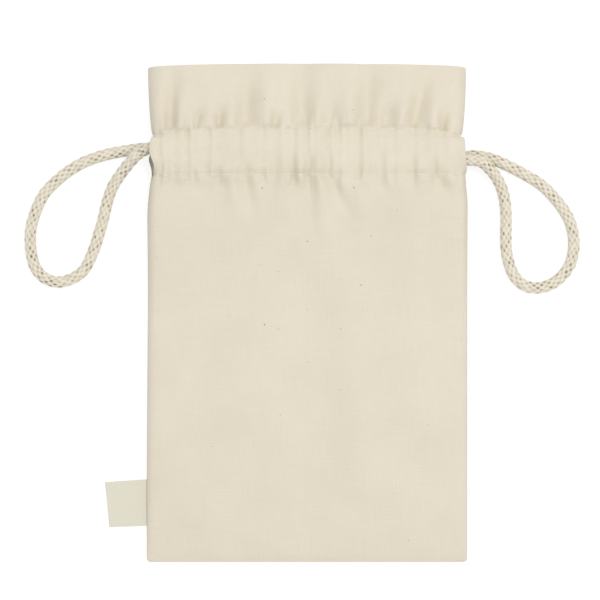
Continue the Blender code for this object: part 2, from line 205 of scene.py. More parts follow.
# Places where a side edge is drawn in more than the part's, or let out: (side, y, reach, amount), in millimetres
EDGE_PULLS = [(-1, 15, 60, 0.6), (-1, 60, 7, 0.6), (-1, 88.5, 3, 1.2), (1, 70, 5, -0.9), (1, 89.5, 2.2, 1.4)]
FRONT_PULLS = [(-1, 73, 4.5, 2.4), *EDGE_PULLS]
BACK_PULLS = [(-1, 77.5, 4, -1.7), *EDGE_PULLS]

# The upper stitch row sinks towards its two ends: how far, and from how far out
ROW_SAG = 0.0023
ROW_SAG_START = 0.045

# Softness of the cloth over the cords and at its rows and seams, and the weights that ease the rows
CLOTH_SOFTNESS = 0.0003
ROW_EASE = 0.0013
EASE_WEIGHTS = {-2: 1, -1: 2, 0: 3, 1: 2, 2: 1}
SEAM_FLAT = 0.007

# Columns and rows of a panel's grid
FACING_COLUMNS = 150
SIDE_COLUMNS = 22
CORNER_REACH = 5 * CORNER_RADIUS
CORNER_ROWS = 16
BODY_ROWS = 200
HEM_ROWS = 10
CHANNEL_ROWS = 40
HEADER_ROWS = 42
FIRST_FACING, LAST_FACING = SIDE_COLUMNS, SIDE_COLUMNS + FACING_COLUMNS

# Braid of the cord: strands each way, length of one turn of a strand, height of the crossings and of the strands,
# and how square a strand is
BRAID_STRANDS = 6
BRAID_LAY = 0.025
BRAID_WAVE = 0.00024
BRAID_CROWN = 0.00060
BRAID_FLANK = 0.98

# Gaps between the strands: size, rarity, depth as a share of a strand, and how much painted shade darkens the
# grooves and gaps
BRAID_GAP = 0.24
GAP_RARITY = 3
GAP_DEPTH = 0.5
GAP_SHADE = 0.9
GROOVE_SHADE = 0.52
SCATTER = (12.9898, 78.233, 43758.5453)

# Fineness of the cords: spacing along them and sides around them, steps of a curve, and points left between those
# of the route that is handed over
LOOP_SPACING, LOOP_SIDES = 0.00030, 64
RUN_SPACING, RUN_SIDES = 0.00040, 48
CURVE_STEPS = 60

# Stitches: length, pitch, points and sides of each, and the arch, rise and sink of its thread
STITCH_LENGTH = 0.0026
STITCH_PITCH = 0.0031
STITCH_POINTS = 9
STITCH_SIDES = 8
STITCH_ARCH = 0.5
STITCH_RISE = 1.3
STITCH_SINK = 0.9

# Seams: a strip's width and thickness as shares of the part's seam, the squareness, points and spacing of its
# section, and its wave; then the same shares for the overlock thread, its margin, spacing, pitch and section
SEAMS = ("left_side_seam", "right_side_seam", "bottom_seam", "left_header_seam", "right_header_seam")
STRIP_WIDTH = 0.46
STRIP_THICKNESS = 0.42
STRIP_POWER = 6
STRIP_POINTS = 13
STRIP_SPACING = 0.002
STRIP_STATIONS = 8
STRIP_WAVE = 0.00006
STRIP_WAVELENGTH = 0.0035
OVERLOCK_WIDTH = 0.47
OVERLOCK_THICKNESS = 0.46
OVERLOCK_MARGIN = 0.001
OVERLOCK_SPACING = 0.00025
OVERLOCK_PITCH = 0.0030
OVERLOCK_RADIUS = 0.00014
OVERLOCK_SIDES = 6

# Label: the gap left at the bag's edge, how near the seam its corners there lie and how far out those at its fold,
# each layer as a share of the thickness, points along, round the fold and across, and how the selvedges thin out
LABEL_TOUCH = 0.00005
LABEL_SEAM_REACH = 0.001
LABEL_FOLD_REACH = 0.010
LABEL_LAYER = 0.42
LABEL_STEPS = 40
LABEL_FOLD_STEPS = 12
LABEL_ROWS = 44
SELVEDGE_THINNING = 0.25
SELVEDGE_WIDTH = 0.02

# Camera: straight above, framed as the photograph, 300 mm of the floor across the picture
VIEW_CENTRE = (-0.0035, 0.0071)
VIEW_LEVEL = 0.002
VIEW_WIDTH = 0.300
CAMERA_LENS = 120
CAMERA_SENSOR = 36

# Lights and floor
SKY_STRENGTH = 0.775
KEY_PLACE = (0.32, 0.30, 1.38)
KEY_SIZE = 0.3
KEY_POWER = 6.8
FLOOR_REACH = 3.0
FLOOR_LEVEL = -0.0003
FLOOR_BOUNCE = (0.90, 0.90, 0.90, 1)
FLOOR_SHOWN = (0.20, 0.20, 0.20, 1)
FLOOR_GLOW = 0.86

# Colours, linear
COTTON = (0.790, 0.728, 0.600)
COTTON_SHADE = (0.735, 0.670, 0.541)
CORD_LIGHT = (0.797, 0.738, 0.614)
# the cord's dark end: painted shade for its grooves and gaps, and its darker random tone
CORD_DARK_AND_SHADE = (0.250, 0.205, 0.120)
THREAD = (0.820, 0.758, 0.628)
TAPE = (0.775, 0.740, 0.612)
SEED = (0.170, 0.110, 0.060)

# Looks of the cotton: thread pitch of the cloth and the tape; scales and detail of the slubs along both thread
# directions and of the mottling, their shares in the tone and the tones that are darkest and palest; the slubs'
# share in the relief, and the relief's strength and depth
COTTON_PITCH = 0.00045
TAPE_PITCH = 0.00030
SLUB_SCALES = ((60, 1900, 1), (1900, 60, 1))
SLUB_DETAIL = 2.0
SLUB_TONE = 0.6
SLUB_RELIEF = 1.1
MOTTLE_SCALE = (38, 38, 1)
MOTTLE_DETAIL = 3.0
MOTTLE_TONE = 0.4
COTTON_TONES = (0.32, 0.68)
COTTON_BUMP = (0.45, 0.00016)
COTTON_SURFACE = {"Roughness": 0.95, "Specular IOR Level": 0.15, "Sheen Weight": 0.12, "Sheen Roughness": 0.5}

# Looks of the cord: scales, detail and shares of its fibres and patches, the sums of painted groove shade and tone
# that are palest and darkest, and the relief's strength and depth
FIBRE_SCALE = (2600, 900, 1)
FIBRE_DETAIL = 3.0
FIBRE_TONE = 0.22
PATCH_SCALE = (330, 240, 1)
PATCH_DETAIL = 1.0
PATCH_TONE = 0.38
CORD_TONES = (0.34, 1.20)
CORD_BUMP = (0.4, 0.00012)
CORD_SURFACE = {"Roughness": 0.95, "Specular IOR Level": 0.15, "Sheen Weight": 0.15}

# Looks of the thread
PLY_SCALE = 900.0
PLY_DISTORTION = 1.5
THREAD_SURFACE = {"Roughness": 0.75}

# Seed flecks: (size of a cell, radius of a fleck, share of the cells that have one), how strongly they show, and
# what is added to a random share to get a fleck's size
COTTON_FLECKS = ((0.024, 0.00036, 0.14), (0.015, 0.00024, 0.18))
COTTON_FLECK_STRENGTH = 0.45
CORD_FLECKS = ((0.0042, 0.00034, 0.20),)
CORD_FLECK_STRENGTH = 0.55
FLECK_LEAST = 0.35

# Names and numbers that Blender needs
UV_NAME = "flat_cloth"
# the point attribute that carries the cord's painted shade in its grooves and gaps
GROOVE_SHADE_NAME = "groove_shade"
SHARP_ANGLE = math.radians(60)
MIX_SHARE, MIX_FIRST, MIX_SECOND, MIX_RESULT = 0, 6, 7, 2


def smooth_step(t):
    t = np.clip(t, 0, 1)
    return t * t * (3 - 2 * t)


def bell(t):
    return np.exp(-(t**2))


def swing(x, height, length, phase):
    return height * np.sin(x / MM / length + phase)


def channel_share(y):
    return np.clip((y - Y_LOW) / CHANNEL_WIDTH, 0, 1)


def bulge(y, power=BULGE_POWER):
    return 1 - np.abs(2 * channel_share(y) - 1) ** power


def half_width(y):
    """Half the bag's width: drawn in at the stitch rows, and round at the bottom corners."""
    share = channel_share(y)
    body = LOWER_DRAW_IN * np.clip(1 - (Y_LOW - y) / NECK_LENGTH, 0, 1) ** 2
    channel = LOWER_DRAW_IN + (UPPER_DRAW_IN - LOWER_DRAW_IN) * share
    header = TOP_DRAW_IN + (UPPER_DRAW_IN - TOP_DRAW_IN) * np.clip((Y_TOP - y) / HEADER_LENGTH, 0, 1) ** 2
    draw_in = np.where(share <= 0, body, np.where(share < 1, channel, header))
    above = np.clip(y - Y_BOTTOM, 0, CORNER_RADIUS)
    corner = CORNER_RADIUS - np.sqrt(np.maximum(0, CORNER_RADIUS**2 - (CORNER_RADIUS - above) ** 2))
    return HALF - draw_in - corner


def top_drop(x, y):
    """How far the header's rows sink towards the sides, which makes the top edge a shallow arch."""
    return TOP_ARCH * smooth_step((y - Y_HIGH) / HEADER_LENGTH) * (x / HALF) ** 2


def row_sag(x, y):
    """How far the cloth along the upper stitch row sinks towards the row's two ends."""
    out = smooth_step((np.abs(x) - ROW_SAG_START) / (HALF - ROW_SAG_START))
    reach = np.where(y < Y_HIGH, CHANNEL_EASE, HEADER_LENGTH)
    return ROW_SAG * out * smooth_step(1 - np.abs(y - Y_HIGH) / reach)


def cloth_layers(y):
    """Layers of cloth at the seams: one in the body, two from the hem up."""
    return 1 + smooth_step((y - Y_HEM_FOOT) / HEM)


def back_height(y):
    """Height of the back panel's outer face, which the stitch rows lift off the floor."""
    rows = sum(np.clip(1 - ((y - row) / BACK_ROW_REACH) ** 2, 0, 1) ** 2 for row in (Y_LOW, Y_HIGH))
    return BACK_ROW_LIFT * rows


def front_height(x, y):
    """Height of the front panel's outer face without its folds."""
    fall = np.clip(y / Y_BOTTOM, 0, 1)
    body = Z_BODY_EDGE + (BODY_RISE + CLOTH - CLEAR) * np.sqrt(np.maximum(0, 1 - fall**2))
    shoulder = smooth_step((y - Y_LOW + SHOULDER) / SHOULDER)
    header = smooth_step((y - Y_HIGH) / HEADER_LENGTH)
    crown = body + (Z_STITCH_TOP - body) * shoulder
    crown = crown + CHANNEL_RISE * bulge(y, CROWN_POWER) + (Z_MOUTH_TOP - Z_STITCH_TOP) * header
    seam = back_height(y) + cloth_layers(y) * CLOTH + CLEAR
    slit = Z_CHANNEL_TOP - CLEAR
    edge = seam + (slit - seam) * bulge(y, SLIT_POWER)
    power = BODY_POWER + (CHANNEL_POWER - BODY_POWER) * bulge(y) + (MOUTH_POWER - BODY_POWER) * header
    across = np.clip(np.abs(x) / half_width(y), 0, 1)
    return edge + (crown - edge) * np.sqrt(np.maximum(0, 1 - across**power))


def fade_out(share):
    return 1 - smooth_step((share - FOLD_FADE) / (1 - FOLD_FADE))


def fold_field(x, y, row, folds):
    """Sum of folds that start at a stitch row, where they are narrow and deep, and fade towards their tips."""
    total = np.zeros_like(x)
    for x_row, x_tip, y_tip, width, height in folds:
        share = (y - row) / (y_tip * MM - row)
        centre = x_row + (x_tip - x_row) * np.clip(share, 0, 1)
        spread = width * (FOLD_WIDTH + FOLD_GAIN * np.clip(share, 0, 1))
        fade = smooth_step(share / FOLD_RISE) * fade_out(share)
        total += height * MM * bell((x / MM - centre) / spread) * fade
    return total


def row_fold_field(x, y):
    """Folds that run through the lower stitch row: a valley between two ridges, pinched where it is sewn down."""
    total = np.zeros_like(x)
    in_channel = smooth_step((y - Y_LOW + ROW_PINCH_REACH) / ROW_SINK_REACH)
    for x_up, y_up, x_row, x_down, y_down, width, depth in ROW_FOLDS:
        above = np.clip((y - Y_LOW) / (y_up * MM - Y_LOW), 0, 1)
        below = np.clip((Y_LOW - y) / (Y_LOW - y_down * MM), 0, 1)
        centre = x_row + (x_up - x_row) * above + (x_down - x_row) * below
        across = (x / MM - centre) / (width * (ROW_FOLD_WIDTH + ROW_FOLD_GAIN * below))
        ridges = bell(across / ROW_RIDGE_SPREAD) - bell(across)
        sunk = ROW_SINK * bell(across) * (1 - in_channel)
        fade = fade_out(above) * (1 - smooth_step(below))
        total += depth * MM * (ROW_RIDGE * ridges - sunk) * fade
    return total * (1 - ROW_PINCH * bell((y - Y_LOW) / ROW_PINCH_REACH))


def side_pull(x, y, pulls):
    """How far the cloth at the side edges is drawn in or let out, where the photographed edges differ."""
    total = np.zeros_like(x)
    for side, place, reach, amount in pulls:
        near = smooth_step((side * x - X_FACING) / SLIT_SETBACK)
        total -= side * amount * MM * near * bell((y / MM - place) / reach)
    return total


def slack_field(x, y):
    """Broad, shallow folds of the slack cloth, which fade out at both ends."""
    total = np.zeros_like(x)
    for x_start, y_start, x_end, y_end, width, height in SLACK_FOLDS:
        share = (y / MM - y_start) / (y_end - y_start)
        centre = x_start + (x_end - x_start) * np.clip(share, 0, 1)
        fade = smooth_step(share / SLACK_FADE) * smooth_step((1 - share) / SLACK_FADE)
        total += height * MM * bell((x / MM - centre) / width) * fade
    return total


def gather_field(x, y):
    """Fine puckers that the stitch rows draw into the cloth, strongest beside the thread."""
    rng = np.random.default_rng(GATHER_SEED)
    ripple = np.zeros_like(x)
    drift = sum(swing(x, *wave) for wave in GATHER_DRIFT)
    for wavelength, height in GATHERS:
        phase = rng.uniform(0, 2 * math.pi)
        ripple += height * MM * np.sin(2 * math.pi * (x / MM + drift) / wavelength + phase)
    reach = GATHER_IN_CHANNEL * bulge(y)
    for row, below, above in GATHER_REACHES:
        away = np.where(y < row, (row - y) / below, (y - row) / above)
        reach = np.maximum(reach, bell(away / GATHER_FALL))
    return ripple * reach * (GATHER_STRENGTH + swing(x, *GATHER_SWELL))


def over_cords(z, y):
    """Keeps the cloth of the channel just above the two front strands, as if it were laid over them."""
    reach = CORD_RADIUS + CLEAR
    for ring in (Y_LEFT_RING, Y_RIGHT_RING):
        top = Z_FRONT_CORD + CLOTH + np.sqrt(np.maximum(0, reach**2 - (y - ring) ** 2))
        lifted = (z + top + np.sqrt((z - top) ** 2 + CLOTH_SOFTNESS**2)) / 2
        z = np.where(np.abs(y - ring) < reach, lifted, z)
    return z


def soft_height(x, y):
    """The front panel's height, with the creases along its stitch rows eased as cloth eases them."""
    total = sum(weight * front_height(x, y + step * ROW_EASE) for step, weight in EASE_WEIGHTS.items())
    return total / sum(EASE_WEIGHTS.values())


def front_cloth_height(x, y):
    """The front cloth's outer face, with its folds and gathers, which die out at the side seams."""
    inset = smooth_step((half_width(y) - np.abs(x)) / SEAM_FLAT)
    body = fold_field(x, y, Y_LOW, BODY_FOLDS) + slack_field(x, y)
    header = fold_field(x, y, Y_HIGH, HEADER_FOLDS)
    folds = np.where(y < Y_LOW, body, np.where(y < Y_HIGH, 0, header))
    folds = folds + row_fold_field(x, y) + gather_field(x, y)
    hard, soft = front_height(x, y), soft_height(x, y)
    return over_cords(hard + (soft - hard + FOLD_SCALE * folds) * inset, y)


def back_cloth_height(x, y):
    return back_height(y) + np.zeros_like(x)


def panel_grid(height, pulls):
    """Points of a panel's outer face, as an array of columns across and rows up."""
    inner = np.linspace(-X_FACING, X_FACING, FACING_COLUMNS + 1)
    side = np.sin(np.linspace(0, np.pi / 2, SIDE_COLUMNS + 1)[1:])
    rows = np.concatenate([
        Y_BOTTOM + CORNER_REACH * (1 - np.cos(np.linspace(0, np.pi / 2, CORNER_ROWS))),
        np.linspace(Y_BOTTOM + CORNER_REACH, Y_HEM_FOOT, BODY_ROWS + 1)[1:],
        np.linspace(Y_HEM_FOOT, Y_LOW, HEM_ROWS)[1:-1],
        Y_LOW + CHANNEL_WIDTH * (1 - np.cos(np.linspace(0, np.pi, CHANNEL_ROWS))) / 2,
        Y_HIGH + HEADER_LENGTH * np.linspace(0, 1, HEADER_ROWS)[1:],
    ])
    reach = (half_width(rows) - X_FACING)[None, :]
    x = np.concatenate([
        -X_FACING - side[::-1, None] * reach,
        np.repeat(inner[:, None], len(rows), axis=1),
        X_FACING + side[:, None] * reach,
    ])
    y = np.repeat(rows[None, :], len(x), axis=0)
    return np.stack([x + side_pull(x, y, pulls), y - top_drop(x, y) - row_sag(x, y), height(x, y)], axis=2)


def outward_normals(outer, up):
    """Directions out of a panel's face. The front panel's sewn edges point straight out."""
    normal = np.cross(np.gradient(outer, axis=0), np.gradient(outer, axis=1))
    normal *= up / np.linalg.norm(normal, axis=2, keepdims=True)
    if up > 0:
        sewn = bulge(outer[len(outer) // 2, :, 1]) == 0
        normal[0, sewn] = (-1, 0, 0)
        normal[-1, sewn] = (1, 0, 0)
        normal[1:-1, 0] = (0, -1, 0)
    return normal


def flat_lengths(outer):
    """Distance across and along the cloth for each point of a grid, as it would lie flat."""
    across = np.linalg.norm(np.diff(outer, axis=0), axis=2)
    along = np.linalg.norm(np.diff(outer, axis=1), axis=2)
    u = np.concatenate([np.zeros((1, outer.shape[1])), np.cumsum(across, axis=0)])
    v = np.concatenate([np.zeros((outer.shape[0], 1)), np.cumsum(along, axis=1)], axis=1)
    return np.stack([u - u[len(u) // 2], v], axis=2)


def add_object(name, data):
    made = bpy.data.objects.new(name, data)
    bpy.context.scene.collection.objects.link(made)
    return made


def add_mesh(name, points, faces, material, uv=None):
    mesh = bpy.data.meshes.new(name)
    mesh.from_pydata(points.tolist(), [], faces)
    bm = bmesh.new()
    bm.from_mesh(mesh)
    bmesh.ops.recalc_face_normals(bm, faces=bm.faces)
    bm.to_mesh(mesh)
    bm.free()
    mesh.shade_smooth()
    mesh.set_sharp_from_angle(angle=SHARP_ANGLE)
    mesh.materials.append(material)
    if uv is not None:
        layer = mesh.uv_layers.new(name=UV_NAME)
        corner = np.empty(len(mesh.loops), np.int32)
        mesh.loops.foreach_get("vertex_index", corner)
        layer.data.foreach_set("uv", uv[corner].astype(np.float32).ravel())
    return add_object(name, mesh)


def hand_over(piece, body, node):
    """Says which body a piece rides on and which node it replaces."""
    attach(piece, body)
    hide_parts(node)


def quads(index):
    """Faces of a grid of point numbers."""
    cells = np.stack([index[:-1, :-1], index[1:, :-1], index[1:, 1:], index[:-1, 1:]], axis=2)
    return cells.reshape(-1, 4).tolist()


def band(first, second):
    """Faces between two lines of point numbers."""
    return np.stack([first[:-1], first[1:], second[1:], second[:-1]], axis=1).tolist()


def tube_faces(rings, around, start=0):
    """Faces of a closed tube of so many rings, whose points are numbered from start."""
    number = start + np.arange(rings * around).reshape(rings, around)
    return quads(np.concatenate([number, number[:, :1]], axis=1)) + [number[0].tolist(), number[-1].tolist()]


def add_tube(name, points, material, uv):
    """A closed tube, from an array of its rings' points."""
    faces = tube_faces(*points.shape[:2])
    return add_mesh(name, points.reshape(-1, 3), faces, material, uv.reshape(-1, 2))


def cloth_panel(name, outer, up, facing_near, facing_far, material):
    """One cut of cloth: an outer wall, a double header, and a facing that closes the cord channel."""
    normal = outward_normals(outer, up)
    columns, rows = outer.shape[:2]
    y = outer[columns // 2, :, 1]
    low = int(np.argmin(np.abs(y - Y_LOW)))
    high = int(np.argmin(np.abs(y - Y_HIGH)))
    channel = slice(low, high + 1)
    inside = slice(low + 1, high)
    facing = slice(FIRST_FACING, LAST_FACING + 1)
    wall = outer - CLOTH * normal
    inner = outer - CLOTH * cloth_layers(y)[None, :, None] * normal
    sheets = [outer, inner, wall]
    share = bulge(y)[None, :]
    slope = channel_share(y)[None, :]
    for start, middle in ((wall, facing_near), (inner, facing_far)):
        sheet = outer.copy()
        joined = start[:, low, 2, None] * (1 - slope) + start[:, high, 2, None] * slope
        sheet[:, :, 2] = joined + (middle - joined) * share
        sheets.append(sheet)

    count = columns * rows
    number = np.arange(count).reshape(columns, rows)
    at_outer, at_inner, at_wall, at_near, at_far = (number + count * k for k in range(len(sheets)))
    sewn = [low, high]
    for beside in (slice(None, FIRST_FACING), slice(LAST_FACING + 1, None)):
        at_wall[beside, sewn] = at_inner[beside, sewn]
    at_near[:, sewn] = at_wall[:, sewn]
    at_far[:, sewn] = at_inner[:, sewn]
    faces = quads(at_outer)
    faces += quads(at_inner[:, :low + 1]) + quads(at_inner[:, high:])
    faces += quads(at_wall[:, channel])
    faces += quads(at_near[facing, channel]) + quads(at_far[facing, channel])
    for i in (0, -1):
        under = at_inner[i].copy()
        under[inside] = at_wall[i, inside]
        faces += band(at_outer[i], under)
    for j in (0, -1):
        faces += band(at_outer[:, j], at_inner[:, j])
    for i in (FIRST_FACING, LAST_FACING):
        faces += band(at_near[i, channel], at_far[i, channel])
    for j in sewn:
        for i, beside in ((FIRST_FACING, FIRST_FACING - 1), (LAST_FACING, LAST_FACING + 1)):
            faces.append([at_inner[beside, j], at_inner[i, j], at_wall[i, j]])

    used = np.unique(np.concatenate([np.ravel(face) for face in faces]))
    fresh = np.full(len(sheets) * count, -1)
    fresh[used] = np.arange(len(used))
    points = np.concatenate([sheet.reshape(-1, 3) for sheet in sheets])[used]
    uv = np.tile(flat_lengths(outer).reshape(-1, 2), (len(sheets), 1))[used]
    return add_mesh(name, points, [fresh[face].tolist() for face in faces], material, uv)


def lengths_along(line):
    """Distance along a line of points to each of them."""
    return np.concatenate([[0], np.cumsum(np.linalg.norm(np.diff(line, axis=0), axis=1))])


def even_points(line, spacing):
    along = lengths_along(line)
    places = np.linspace(0, along[-1], max(2, math.ceil(along[-1] / spacing) + 1))
    return np.stack([np.interp(places, along, line[:, axis]) for axis in range(3)], axis=1)


def smooth_route(route, spacing):
    """Points at even spacing along a Catmull-Rom curve through the route's own points."""
    route = np.array(route, float)
    padded = np.vstack([2 * route[0] - route[1], route, 2 * route[-1] - route[-2]])
    t = np.linspace(0, 1, CURVE_STEPS, endpoint=False)[:, None]
    fine = [
        start
        + 0.5 * t * (end - before)
        + t**2 * (before - 2.5 * start + 2 * end - 0.5 * after)
        + t**3 * (1.5 * start - 1.5 * end + 0.5 * after - 0.5 * before)
        for before, start, end, after in zip(padded, padded[1:], padded[2:], padded[3:])
    ]
    return even_points(np.vstack([*fine, route[-1:]]), spacing)


def ring_directions(path, angle):
    """Directions square to the path at each of its points, by angle, carried along it without twist."""
    tangent = np.gradient(path, axis=0)
    tangent /= np.linalg.norm(tangent, axis=1, keepdims=True)
    side = np.cross(tangent[0], (0, 0, 1))
    sides = []
    for direction in tangent:
        side = side - direction * np.dot(side, direction)
        side = side / np.linalg.norm(side)
        sides.append(side)
    sides = np.array(sides)
    ups = np.cross(tangent, sides)
    return np.cos(angle)[None, :, None] * sides[:, None] + np.sin(angle)[None, :, None] * ups[:, None]


def scatter(first, second):
    """A repeatable random share for each pair of whole numbers."""
    wild = np.sin(first * SCATTER[0] + second * SCATTER[1]) * SCATTER[2]
    return wild - np.floor(wild)


def braid_profile(s, angle):
    """Radius of a round braid, and the painted shade of each point from how deep it lies in its grooves and in a
    gap, by place along and around.
    """
    turns = BRAID_STRANDS * angle / (2 * math.pi)
    climb = BRAID_STRANDS * s / BRAID_LAY
    left, right = turns - climb, turns + climb
    heights = []
    for own, other, sign in ((left, right, 1), (right, left, -1)):
        strand = np.floor(own)
        across = 2 * (own - strand) - 1
        crown = np.sqrt(np.maximum(0, 1 - (BRAID_FLANK * across) ** 2))
        wave = sign * np.cos(math.pi * (other - 0.5 + strand))
        heights.append(BRAID_WAVE * wave + BRAID_CROWN * crown)
    height = np.maximum(*heights)
    top = BRAID_WAVE + BRAID_CROWN
    corner = np.round(left), np.round(right)
    away = np.hypot(left - corner[0], right - corner[1])
    gap = bell(away / BRAID_GAP) * scatter(*corner) ** GAP_RARITY
    # painted shade: darker the deeper a point lies in the grooves between the strands, and darker still in the
    # gaps
    groove_shade = GROOVE_SHADE * (1 - np.clip(height / top, 0, 1)) + GAP_SHADE * gap
    return CORD_RADIUS - top + height - GAP_DEPTH * BRAID_CROWN * gap, groove_shade


def braided_cord(name, path, around, material):
    """A round braided cord along a path, with its strands as real relief and closed ends."""
    s = lengths_along(path)
    angle = np.linspace(0, 2 * math.pi, around, endpoint=False)
    radius, groove_shade = braid_profile(s[:, None], angle[None, :])
    points = path[:, None] + radius[:, :, None] * ring_directions(path, angle)
    uv = np.stack(np.broadcast_arrays(angle[None, :] * CORD_RADIUS, s[:, None]), axis=2)
    piece = add_tube(name, points, material, uv)
    # the painted groove and gap shade is stored on the points, for the cord's material
    attribute = piece.data.attributes.new(GROOVE_SHADE_NAME, "FLOAT", "POINT")
    attribute.data.foreach_set("value", groove_shade.astype(np.float32).ravel())
    return piece


def loop_path(side, y_ring, outward, homeward):
    """A loop's middle line, out of the slit on the back strand and home on the front strand."""
    def place(point, height):
        out, along, lift = point
        z = CORD_RADIUS + lift * (height - CORD_RADIUS)
        return (side * (HALF + out * MM), Y_CHANNEL + along * MM, z)

    def inside(share, height):
        return (side * (X_FACING + CLEAR / 2 + share * SLIT_SETBACK), y_ring, height)

    rise = Z_FRONT_CORD - CORD_RADIUS
    route = [
        *[inside(share, Z_BACK_CORD) for share in BACK_END],
        *[place(point, Z_BACK_CORD) for point in outward],
        *[place(point, Z_FRONT_CORD) for point in homeward],
        *[inside(share, Z_FRONT_CORD - drop * rise) for share, drop in FRONT_END],
    ]
    middle = smooth_route(route, LOOP_SPACING)
    return even_points(np.vstack([inside(0, Z_BACK_CORD), middle, inside(0, Z_FRONT_CORD)]), LOOP_SPACING)


def turn_path(side, y_ring):
    """The middle line of a ring's turn, from the front strand round to the back strand."""
    middle = (Z_FRONT_CORD + Z_BACK_CORD) / 2
    radius = (Z_FRONT_CORD - Z_BACK_CORD) / 2
    start = X_FACING + CLEAR / 2
    straight = start + CORD_RADIUS / 2
    bend = [
        (side * (straight + radius * math.sin(angle)), y_ring, middle + radius * math.cos(angle))
        for angle in np.linspace(0, math.pi, CURVE_STEPS)
    ]
    line = [(side * start, y_ring, Z_FRONT_CORD), *bend, (side * start, y_ring, Z_BACK_CORD)]
    return even_points(np.array(line), RUN_SPACING)


def cord_ring(name, side, y_ring, outward, homeward, material):
    """One ring of cord: its loop and two runs ride on the pulled body, and its turn on the bag."""
    path = loop_path(side, y_ring, outward, homeward)
    loop = braided_cord(name + "_braided_loop", path, LOOP_SIDES, material)
    hand_over(loop, name, name + "_loop")
    end = X_FACING - CLEAR / 2
    for place, z in (("front", Z_FRONT_CORD), ("back", Z_BACK_CORD)):
        line = even_points(np.array([(-end, y_ring, z), (end, y_ring, z)]), RUN_SPACING)
        run = braided_cord(f"{name}_braided_{place}_run", line, RUN_SIDES, material)
        hand_over(run, name, f"{name}_{place}_run")
    turn = braided_cord(name + "_braided_turn", turn_path(-side, y_ring), RUN_SIDES, material)
    hand_over(turn, "bag", name + "_turn")


def join_tubes(name, lines, radius, sides, material):
    """Round threads along several lines of points, as one mesh with closed ends."""
    points, faces, start = [], [], 0
    angle = np.linspace(0, 2 * math.pi, sides, endpoint=False)
    for line in lines:
        points.append((line[:, None] + radius * ring_directions(line, angle)).reshape(-1, 3))
        faces += tube_faces(len(line), sides, start)
        start += len(line) * sides
    return add_mesh(name, np.concatenate(points), faces, material)


def stitch_lines(y, height, outward):
    """Centre lines of separate stitches along one row, each dipping into the cloth at its ends."""
    reach = HALF - 2 * HEM
    t = np.linspace(0, 1, STITCH_POINTS)
    arch = np.sin(math.pi * t) ** STITCH_ARCH
    lines = []
    for start in np.arange(-reach, reach - STITCH_LENGTH, STITCH_PITCH):
        x = start + STITCH_LENGTH * t
        row = np.full_like(x, y)
        z = height(x, row) + outward * (THREAD_RADIUS * (STITCH_RISE * arch - STITCH_SINK))
        lines.append(np.stack([x, y - row_sag(x, row), z], axis=1))
    return lines


